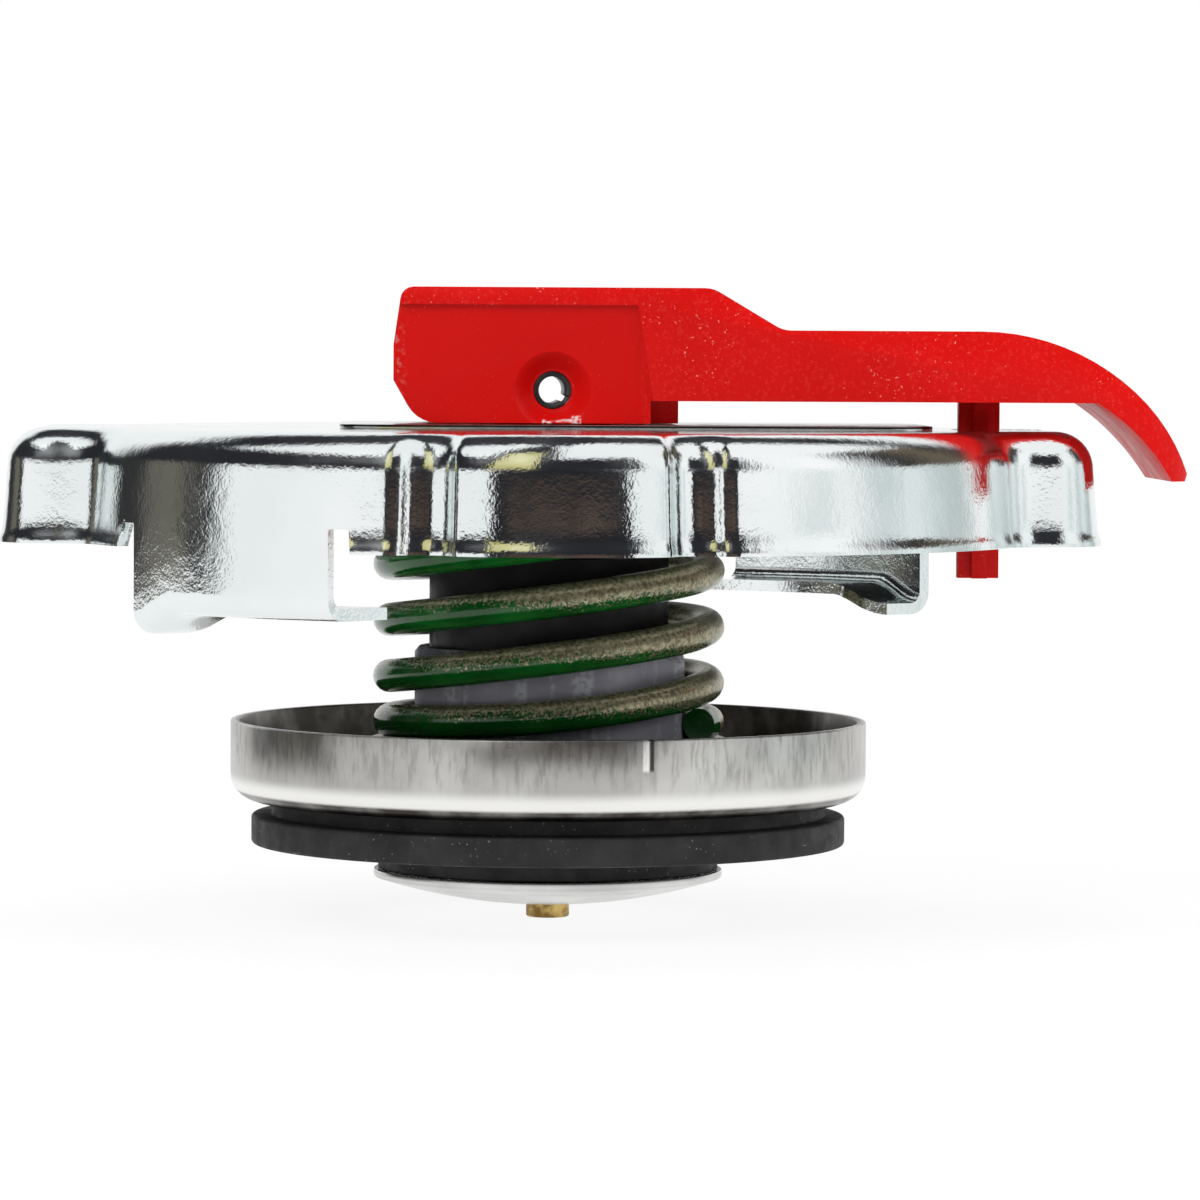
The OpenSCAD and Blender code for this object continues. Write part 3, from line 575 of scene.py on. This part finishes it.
def green_paint():
    """Gloss paint on spring wire, worn to dull metal on its upper sides and more so to the right."""
    s = Shader("worn_green_paint")
    side = s.span(s.axis("X"), -0.012, 0.012, -0.50, 0.74)
    patch = s.math("ADD", s.span(s.noise(140, 3), 0.3, 0.7, -0.25, 0.25),
                   s.span(s.noise(5200, 3, 0.6), 0.3, 0.7, -0.45, 0.45))
    cut_depth = s.math("MULTIPLY", s.span(s.axis("Y"), -0.0054, -0.0048),
                       s.span(s.axis("Y"), -0.0028, -0.0034))
    cut_end = s.math("MULTIPLY", s.box((0.0090, 0.0125), (-0.0195, -0.0163), 0.0002), cut_depth)
    bared = s.math("ADD", s.upward(), s.math("ADD", side, patch))
    bared = s.math("SUBTRACT", bared, s.math("MULTIPLY", cut_end, 2.0))
    worn = s.span(bared, 0.02, 0.20)
    paint = s.mix(s.span(s.noise(260, 4), 0.35, 0.7), (0.004, 0.075, 0.009), (0.007, 0.125, 0.016))
    bare = s.mix(s.span(s.noise(3800, 4, 0.6), 0.36, 0.64), (0.16, 0.145, 0.080), (0.44, 0.40, 0.26))
    s.drive("Base Color", s.mix(worn, paint, bare))
    s.drive("Metallic", s.math("MULTIPLY", worn, 0.6))
    s.drive("Roughness", s.span(worn, 0.0, 1.0, 0.12, 0.30))
    s.drive("Normal", s.bump(s.noise(2400, 4), 0.18, 0.00008))
    return s.material


def black_moulding():
    """Dull black plastic of the stem."""
    s = Shader("black_moulding")
    s.set(Specular_IOR_Level=0.25)
    cloud = s.span(s.noise(350, 4), 0.4, 0.7)
    s.drive("Base Color", s.mix(cloud, (0.008, 0.008, 0.008), (0.018, 0.017, 0.017)))
    s.drive("Roughness", s.span(s.noise(600, 4), 0.3, 0.7, 0.45, 0.62))
    s.drive("Normal", s.bump(s.noise(2500, 3), 0.15, 0.00005))
    return s.material


def grey_moulding():
    """Grey plastic of the collar, with paler scuffed bands."""
    s = Shader("grey_moulding")
    s.set(Specular_IOR_Level=0.35)
    tone = s.mix(s.span(s.noise(200, 4), 0.35, 0.7), (0.22, 0.22, 0.26), (0.29, 0.29, 0.335))
    across = s.noise(1.0, 3, 0.6, s.scaled(420, 420, 30))
    scuff = s.math("MULTIPLY", s.span(across, 0.50, 0.62), s.span(s.noise(2600, 3), 0.36, 0.60))
    s.drive("Base Color", s.mix(s.math("MULTIPLY", scuff, 0.6), tone, (0.56, 0.56, 0.60)))
    s.drive("Roughness", s.span(s.noise(500, 4), 0.3, 0.7, 0.33, 0.5))
    s.drive("Normal", s.bump(s.noise(1800, 3), 0.12, 0.00006))
    return s.material


def rubber(name, dark, light):
    """Black rubber with a trace of pale dust."""
    s = Shader(name)
    s.set(Specular_IOR_Level=0.3)
    tone = s.mix(s.span(s.noise(260, 4), 0.35, 0.7), dark, light)
    dust = s.math("MULTIPLY", s.span(s.noise(4200, 1), 0.70, 0.77),
                  s.span(s.noise(150, 2), 0.42, 0.65))
    fibre = s.noise(1.0, 2, 0.5, s.scaled(500, 500, 2600))
    dust = s.math("MAXIMUM", dust, s.math("MULTIPLY", s.span(fibre, 0.74, 0.79), 0.8))
    s.drive("Base Color", s.mix(s.math("MULTIPLY", dust, 0.35), tone, (0.5, 0.48, 0.45)))
    s.drive("Roughness", s.span(s.noise(700, 4), 0.3, 0.7, 0.55, 0.75))
    s.drive("Normal", s.bump(s.noise(2600, 4), 0.25, 0.00008))
    return s.material


def drawn_steel():
    """Stainless sheet with short upright draw marks, a scuffed band by the rim, a painted highlight
    along the bottom, a painted highlight and shade for a small dent by the rim, and painted shade on
    the inside.
    """
    s = Shader("drawn_steel")
    s.set(Metallic=1.0)
    streaks = s.noise(1.0, 4, 0.6, s.scaled(2300, 2300, 420))
    cloud = s.noise(170, 4)
    upper = s.span(s.axis("Z"), -0.0222, -0.0192)
    tone = s.mix(s.span(cloud, 0.35, 0.68), (0.44, 0.435, 0.42), (0.60, 0.595, 0.57))
    marks = s.math("MULTIPLY", s.span(streaks, 0.46, 0.66), s.span(upper, 0.0, 1.0, 0.05, 0.70))
    tone = s.mix(marks, tone, (0.30, 0.285, 0.265))
    # Painted highlight: a near-white band along the bottom of the cup.
    tone = s.mix(s.span(s.axis("Z"), -0.0210, -0.0220, 0.0, 0.9), tone, (0.93, 0.925, 0.90))
    # Painted highlight and painted shade: a pale line beside a dark line stands in for light on a small
    # dent near the rim.
    turn = s.math("ARCTAN2", s.axis("Y"), s.axis("X"))
    dent_light_height = s.math("MULTIPLY", s.span(s.axis("Z"), -0.0199, -0.0196),
                         s.span(s.radius(), 0.02165, 0.02180))
    pale, dark = (0.92, 0.92, 0.90), (0.07, 0.065, 0.06)
    for start, end, colour in ((-1.312, -1.288, pale), (-1.290, -1.272, dark)):
        dent_light_line = s.math("MULTIPLY", s.span(turn, start, start + 0.005), s.span(turn, end, end - 0.005))
        tone = s.mix(s.math("MULTIPLY", dent_light_line, dent_light_height), tone, colour)
    # Painted shade: the inside of the cup is painted dark brown where it lies in shade under the shell.
    inside = s.span(s.radius(), 0.02178, 0.02160)
    painted_inside_shade = s.math("MULTIPLY", inside, s.span(s.noise(300, 4), 0.30, 0.62, 0.75, 1.0))
    tone = s.mix(painted_inside_shade, tone, (0.050, 0.043, 0.036))
    s.drive("Base Color", tone)
    s.drive("Roughness", s.span(cloud, 0.3, 0.7, 0.24, 0.36))
    s.drive("Normal", s.bump(streaks, 0.16, 0.00006, s.bump(s.noise(700, 3), 0.10, 0.00008)))
    return s.material


def turned_steel(name, dark, light, rough):
    """Sheet steel with fine rings round the axis."""
    s = Shader(name)
    s.set(Metallic=1.0)
    ring = s.tree.nodes.new("ShaderNodeCombineXYZ")
    s.link(s.radius(), ring.inputs["X"])
    s.link(s.axis("Z"), ring.inputs["Z"])
    lines = s.noise(5200, 3, 0.6, ring.outputs["Vector"])
    cloud = s.noise(160, 4)
    s.drive("Base Color", s.mix(s.span(cloud, 0.35, 0.7), dark, light))
    s.drive("Roughness", s.span(lines, 0.3, 0.7, rough, rough + 0.14))
    s.drive("Normal", s.bump(lines, 0.12, 0.00004))
    return s.material


def edged_steel():
    """Thin sheet with a dark sheared edge."""
    s = Shader("rub_plate_steel")
    s.set(Metallic=1.0)
    flat = s.math("MAXIMUM", s.span(s.math("ABSOLUTE", s.upward()), 0.4, 0.8),
                  s.span(s.axis("Z"), 0.00275, 0.00272))
    face = s.mix(s.span(s.noise(160, 4), 0.35, 0.7), (0.60, 0.60, 0.59), (0.74, 0.74, 0.73))
    s.drive("Base Color", s.mix(flat, (0.030, 0.029, 0.028), face))
    s.drive("Roughness", s.span(s.noise(900, 4), 0.3, 0.7, 0.14, 0.26))
    return s.material


def dull_brass():
    """Brass rivet with dark tarnish in patches."""
    s = Shader("dull_brass")
    s.set(Metallic=1.0)
    tarnish = s.span(s.noise(900, 5), 0.38, 0.66)
    s.drive("Base Color", s.mix(tarnish, (0.20, 0.12, 0.04), (0.62, 0.44, 0.15)))
    s.drive("Roughness", s.span(s.noise(1400, 4), 0.3, 0.7, 0.28, 0.5))
    s.drive("Normal", s.bump(s.noise(2200, 4), 0.25, 0.0001))
    return s.material


def paint(obj, material, slot=None):
    """Gives a piece its one material; the slot argument is not used."""
    obj.data.materials.clear()
    obj.data.materials.append(material)


def dress(frame):
    """Replaces or paints every CAD node."""
    nodes = frame["nodes"]
    steel = turned_steel("sheet_steel", (0.55, 0.55, 0.54), (0.72, 0.72, 0.70), 0.2)
    pin_steel = turned_steel("dark_pin_steel", (0.025, 0.025, 0.025), (0.11, 0.11, 0.11), 0.3)
    seal = rubber("seal_rubber", (0.011, 0.011, 0.011), (0.024, 0.0235, 0.024))

    shell = build_shell()
    paint(shell, plating(), "shell_plating")
    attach(shell, "shell_group")
    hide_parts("shell")

    split = CUT_ANGLE
    while coil_z(split) < SPLIT_Z:
        split += 1.0
    end = 180 + 360 * (COIL_HIGH - COIL_LOW) / COIL_PITCH + 150
    green = green_paint()
    lower = build_wire("spring_lower_turns", CUT_ANGLE, split)
    upper = build_wire("spring_upper_turns", split, end)
    for piece, body in ((lower, "stem_group"), (upper, "shell_group")):
        paint(piece, green, "spring_green")
        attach(piece, body)
    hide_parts("main_spring")
    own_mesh(upper)
    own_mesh(lower)

    pieces = [
        ("lever", "lever_moulding", 0.18, "lever_group", red_plastic(), "lever_red"),
        ("pivot_pin", "slotted_pin", 0.08, "lever_group", pin_steel, "pin_steel"),
        ("lift_stem", "stem_moulding", 0.15, "stem_group", black_moulding(), "stem_black"),
        ("collar", "collar_moulding", 0.15, "pressure_group", grey_moulding(), "collar_grey"),
        ("pressure_cup", "valve_cup", 0.12, "pressure_group", drawn_steel(), "cup_steel"),
        ("pressure_gasket", "valve_gasket", 0.12, "pressure_group", seal, "seal_rubber"),
        ("vacuum_plate", "vacuum_disc", 0.12, "vacuum_group", steel, "plate_steel"),
        ("vacuum_stem", "vacuum_rivet", 0.15, "vacuum_group", dull_brass(), "stem_brass"),
        ("wear_plate", "rub_plate", 0.05, "shell_group", edged_steel(), "plate_steel"),
        ("vacuum_spring", "vacuum_coil", 0.02, "pressure_group", steel, "plate_steel"),
    ]
    made = {}
    for node, name, bevel, body, material, slot in pieces:
        piece = refine(nodes[node], name, bevel)
        paint(piece, material, slot)
        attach(piece, body)
        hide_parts(node)
        made[name] = piece
    coil = made["vacuum_coil"]
    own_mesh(coil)
    paint(nodes["neck_seal"], seal)
    for node in ("spring_seat", "gasket_eyelet", "spring_washer"):
        paint(nodes[node], steel)


def add_camera():
    """The photograph's viewpoint."""
    right = Vector((cosd(CAMERA_AZIMUTH + 90), sind(CAMERA_AZIMUTH + 90), 0))
    aim = right * AIM_RIGHT * MM + Vector((0, 0, AIM_Z * MM))
    level = cosd(CAMERA_ELEVATION)
    out = Vector((cosd(CAMERA_AZIMUTH) * level, sind(CAMERA_AZIMUTH) * level, sind(CAMERA_ELEVATION)))
    data = bpy.data.cameras.new("camera")
    data.lens = FOCAL
    data.sensor_width = 36.0
    data.clip_start = 0.01
    camera = bpy.data.objects.new("camera", data)
    camera.location = aim + out * CAMERA_DISTANCE * MM
    camera.rotation_euler = (-out).to_track_quat("-Z", "Y").to_euler()
    camera.rotation_euler.rotate_axis("Z", math.radians(CAMERA_ROLL))
    bpy.context.scene.collection.objects.link(camera)
    bpy.context.scene.camera = camera


def add_lamp(name, place, size, power, colour=(1, 1, 1)):
    """A soft square lamp that points at the cap."""
    data = bpy.data.lights.new(name, "AREA")
    data.size = size
    data.energy = power
    data.color = colour
    lamp = bpy.data.objects.new(name, data)
    lamp.location = place
    lamp.rotation_euler = (Vector((0, 0, -0.01)) - Vector(place)).to_track_quat("-Z", "Y").to_euler()
    bpy.context.scene.collection.objects.link(lamp)


def add_floor(level):
    """A pale floor that looks white and keeps a faint shadow near the cap."""
    size = 6.0
    mesh = bpy.data.meshes.new("floor")
    ends = [(-size, -size), (size, -size), (size, size), (-size, size)]
    mesh.from_pydata([(x, y, level) for x, y in ends], [], [(0, 1, 2, 3)])
    floor = bpy.data.objects.new("floor", mesh)
    bpy.context.scene.collection.objects.link(floor)
    s = Shader("pale_floor")
    s.set(Base_Color=(0.9, 0.9, 0.9), Roughness=0.8)
    path = s.tree.nodes.new("ShaderNodeLightPath")
    seen = s.math("MAXIMUM", path.outputs["Is Camera Ray"], path.outputs["Is Glossy Ray"])
    s.glow((1.0, 1.0, 1.0), s.math("MULTIPLY", seen, s.span(s.radius(), 0.04, 0.20, 0.9, 1.0)))
    mesh.materials.append(s.material)


def reflected_only(obj):
    """Keeps a stage piece out of everything but reflections."""
    bpy.context.scene.collection.objects.link(obj)
    obj.visible_camera = False
    obj.visible_diffuse = False
    obj.visible_shadow = False
    obj.visible_transmission = False


def add_surround(level):
    """A studio dome that only reflections see, with dark and bright parts as the plating shows them."""
    radius = 0.26
    sides = 144
    tiers = 30
    low = math.degrees(math.asin(level / radius))
    verts = []
    for e in np.linspace(low, 89.9, tiers):
        for i in range(sides):
            a = 360 * i / sides
            verts.append((radius * cosd(e) * cosd(a), radius * cosd(e) * sind(a), radius * sind(e)))
    faces = []
    for k in range(tiers - 1):
        for i in range(sides):
            n = (i + 1) % sides
            faces.append((k * sides + i, k * sides + n, (k + 1) * sides + n, (k + 1) * sides + i))
    mesh = bpy.data.meshes.new("surround")
    mesh.from_pydata(verts, [], faces)
    white, dark = (1.0, 1.0, 1.0), (0.025, 0.025, 0.03)
    s = Shader("studio_dome")
    turn = s.math("ARCTAN2", s.axis("X"), s.math("MULTIPLY", s.axis("Y"), -1.0))
    turn = s.math("ADD", s.math("DIVIDE", turn, 2 * math.pi), 0.5)
    rise = s.math("ARCTAN2", s.axis("Z"), s.radius())
    low_band = s.ramp(turn, [
        (-180, white), (-134, (0.95, 0.95, 0.95)), (-128, (0.03, 0.03, 0.03)),
        (-112, (0.04, 0.04, 0.04)), (-107, (0.14, 0.13, 0.11)), (-94, (0.16, 0.15, 0.12)),
        (-91, (0.02, 0.02, 0.02)), (-86, (0.03, 0.03, 0.03)), (-80, white),
        (52, white), (62, (0.74, 0.79, 0.79)), (70, white),
        (80, (0.62, 0.68, 0.68)), (90, (0.88, 0.92, 0.92)), (100, (0.66, 0.72, 0.72)),
        (110, (0.52, 0.57, 0.57)), (118, white), (180, white),
    ])
    mid_band = s.ramp(turn, [
        (-180, white), (-134, white), (-122, dark), (42, dark), (50, white), (72, white), (88, dark),
        (112, (0.16, 0.13, 0.09)), (126, dark), (140, white), (180, white),
    ])
    high_band = s.ramp(turn, [
        (-180, dark), (-110, dark), (-95, white), (-50, white), (-44, dark), (-4, dark),
        (4, white), (112, white), (130, dark), (180, dark),
    ])
    lower = s.mix(s.span(rise, math.radians(9), math.radians(15)), low_band, mid_band)
    upper = s.mix(s.span(rise, math.radians(82), math.radians(87)), high_band, dark)
    s.glow(s.mix(s.span(rise, math.radians(38), math.radians(46)), lower, upper))
    mesh.materials.append(s.material)
    reflected_only(bpy.data.objects.new("surround", mesh))


def add_card(name, x, z):
    """An upright card close in front of the cap that only reflections see; returns its shader."""
    mesh = bpy.data.meshes.new(name)
    points = [(x[0], CARD_Y, z[0]), (x[1], CARD_Y, z[0]), (x[1], CARD_Y, z[1]), (x[0], CARD_Y, z[1])]
    mesh.from_pydata([Vector(v) * MM for v in points], [], [(0, 1, 2, 3)])
    s = Shader(name)
    mesh.materials.append(s.material)
    reflected_only(bpy.data.objects.new(name, mesh))
    return s


def add_cards():
    """What the narrow lobe mirrors: the dark front of the room and a yellowish lamp above it."""
    s = add_card("dark_card", (-33.5, 33.5), (-14.0, 10.0))
    core = s.box((-0.024, 0.026), (-0.0095, 0.0035), 0.002)
    brown = s.mix(s.span(s.noise(70, 3), 0.35, 0.65), (0.050, 0.036, 0.030), (0.110, 0.078, 0.062))
    s.glow(s.mix(core, (0.020, 0.020, 0.024), brown))
    lamp = add_card("yellow_card", (-36.0, -11.0), (12.0, 90.0))
    lamp.glow((0.62, 0.56, 0.24))


def add_world():
    """White to the camera and to reflections, softer as a light."""
    world = bpy.data.worlds.new("studio")
    bpy.context.scene.world = world
    world.use_nodes = True
    tree = world.node_tree
    back = tree.nodes["Background"]
    back.inputs["Color"].default_value = (1, 1, 1, 1)
    path = tree.nodes.new("ShaderNodeLightPath")
    seen = tree.nodes.new("ShaderNodeMath")
    seen.operation = "MAXIMUM"
    tree.links.new(path.outputs["Is Camera Ray"], seen.inputs[0])
    tree.links.new(path.outputs["Is Glossy Ray"], seen.inputs[1])
    level = tree.nodes.new("ShaderNodeMapRange")
    level.inputs["To Min"].default_value = 0.42
    level.inputs["To Max"].default_value = 1.0
    tree.links.new(seen.outputs[0], level.inputs["Value"])
    tree.links.new(level.outputs["Result"], back.inputs["Strength"])


def corners(bounds):
    return [[round(float(v), 6) for v in point] for point in bounds]


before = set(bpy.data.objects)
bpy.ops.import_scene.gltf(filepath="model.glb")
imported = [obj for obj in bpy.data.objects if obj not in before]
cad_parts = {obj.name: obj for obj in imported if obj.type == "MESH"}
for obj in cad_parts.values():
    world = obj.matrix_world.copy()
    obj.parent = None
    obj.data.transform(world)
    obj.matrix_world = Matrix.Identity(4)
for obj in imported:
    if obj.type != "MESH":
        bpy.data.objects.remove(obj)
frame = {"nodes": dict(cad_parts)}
cad_box = corners(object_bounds())
bpy.context.scene.view_settings.view_transform = "Standard"
add_camera()
dress(frame)
floor_level = cad_box[0][2]
add_floor(floor_level)
add_surround(floor_level)
add_cards()
add_world()
add_lamp("key_lamp", (-0.25, -0.35, 0.40), 0.35, 2.2)
add_lamp("fill_lamp", (0.45, -0.20, 0.25), 0.35, 1.2)
add_lamp("top_lamp", (0.0, 0.15, 0.50), 0.40, 1.5)
